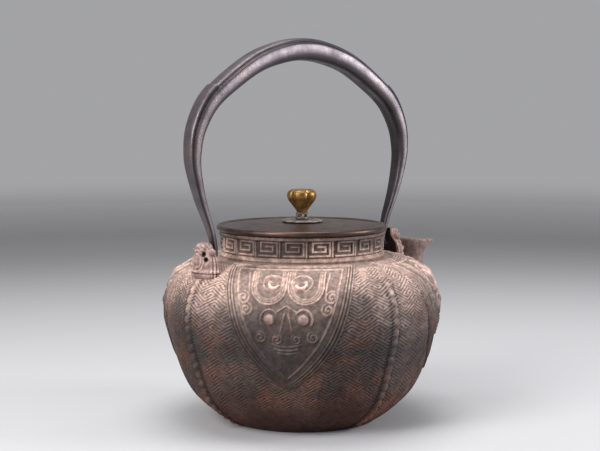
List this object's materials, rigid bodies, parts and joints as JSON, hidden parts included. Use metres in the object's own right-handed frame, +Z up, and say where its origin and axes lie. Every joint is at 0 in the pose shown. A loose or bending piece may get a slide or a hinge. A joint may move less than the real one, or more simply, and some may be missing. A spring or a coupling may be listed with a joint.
{
  "type": "cast iron kettle",
  "caption": "Round cast-iron kettle with arched bail handle, short beaked spout and domed bronze lid with a bud knob.",
  "frame": {"origin": "centre of the flat base", "axes": "+Z up, +X towards the spout, handle in the XZ plane"},
  "size_m": [0.1793, 0.1566, 0.211],
  "materials": {
    "body_iron": "rough rusted cast iron",
    "handle_iron": "dark forged iron, worn satin",
    "lid_bronze": "dark brown patinated bronze, satin",
    "silver_trim": "dull silvery",
    "knob_brass": "aged brass"
  },
  "bodies": {
    "kettle": {"kettle_body": "body_iron", "spout": "body_iron", "lug_front": "body_iron", "lug_back": "body_iron"},
    "bail": {"handle": "handle_iron"},
    "lid": {"lid_plate": "lid_bronze", "lid_bezel": "lid_bronze", "knob_washer": "silver_trim", "knob_stem": "silver_trim", "knob_bud": "knob_brass", "lid_inside_washer": "lid_bronze", "knob_rivet": "knob_brass"}
  },
  "joints": [
    {"name": "lid_lift", "type": "slide", "parent": "kettle", "child": "lid", "axis": [0, 0, 1], "range_m": [0, 0.06]},
    {"name": "handle_rock", "type": "hinge", "parent": "kettle", "child": "bail", "pos_m": [0, 0, 0.095], "axis": [1, 0, 0], "range_deg": [-12, 12]}
  ]
}
